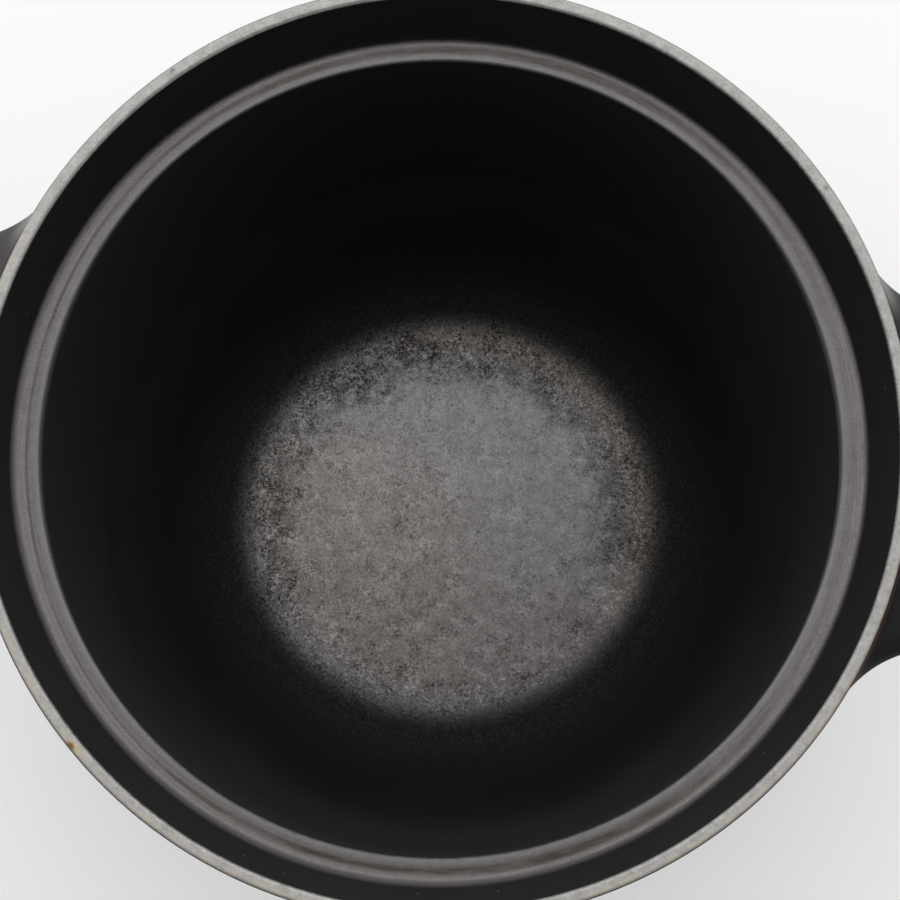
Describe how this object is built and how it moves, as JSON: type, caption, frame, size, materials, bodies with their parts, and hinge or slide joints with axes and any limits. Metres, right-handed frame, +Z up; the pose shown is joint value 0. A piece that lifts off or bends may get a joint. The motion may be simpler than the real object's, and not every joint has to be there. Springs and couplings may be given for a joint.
{
  "type": "dutch oven",
  "caption": "Deep round cast-iron cooking pot with integral loop handles, a grooved lid seat inside the rim, and a domed drop-in lid with a screwed-on knob.",
  "frame": {"origin": "on the table, at the centre of the pot's flat base", "axes": "+Z up, out of the pot's mouth; +X through the right handle; the lid lies in front, towards -Y"},
  "size_m": [0.298, 0.4354, 0.157],
  "materials": {
    "pot_iron": "matte black coating, bare ground rim, worn grey seat and floor",
    "lid_iron": "matte black coating with a fine sand-cast grain",
    "knob_phenolic": "satin moulded phenolic",
    "insert_brass": "machined",
    "gasket_silicone": "matte",
    "screw_steel": "zinc plated"
  },
  "bodies": {
    "pot": {"pot_body": "pot_iron"},
    "lid": {"lid": "lid_iron", "lid_knob": "knob_phenolic", "knob_insert": "insert_brass", "knob_gasket": "gasket_silicone", "knob_screw": "screw_steel", "lock_washer": "screw_steel", "knob_washer": "screw_steel"}
  },
  "joints": [
    {"name": "lid_lift", "type": "slide", "parent": "pot", "child": "lid", "axis": [0, 0, 1], "range_m": [0, 0.25]}
  ]
}
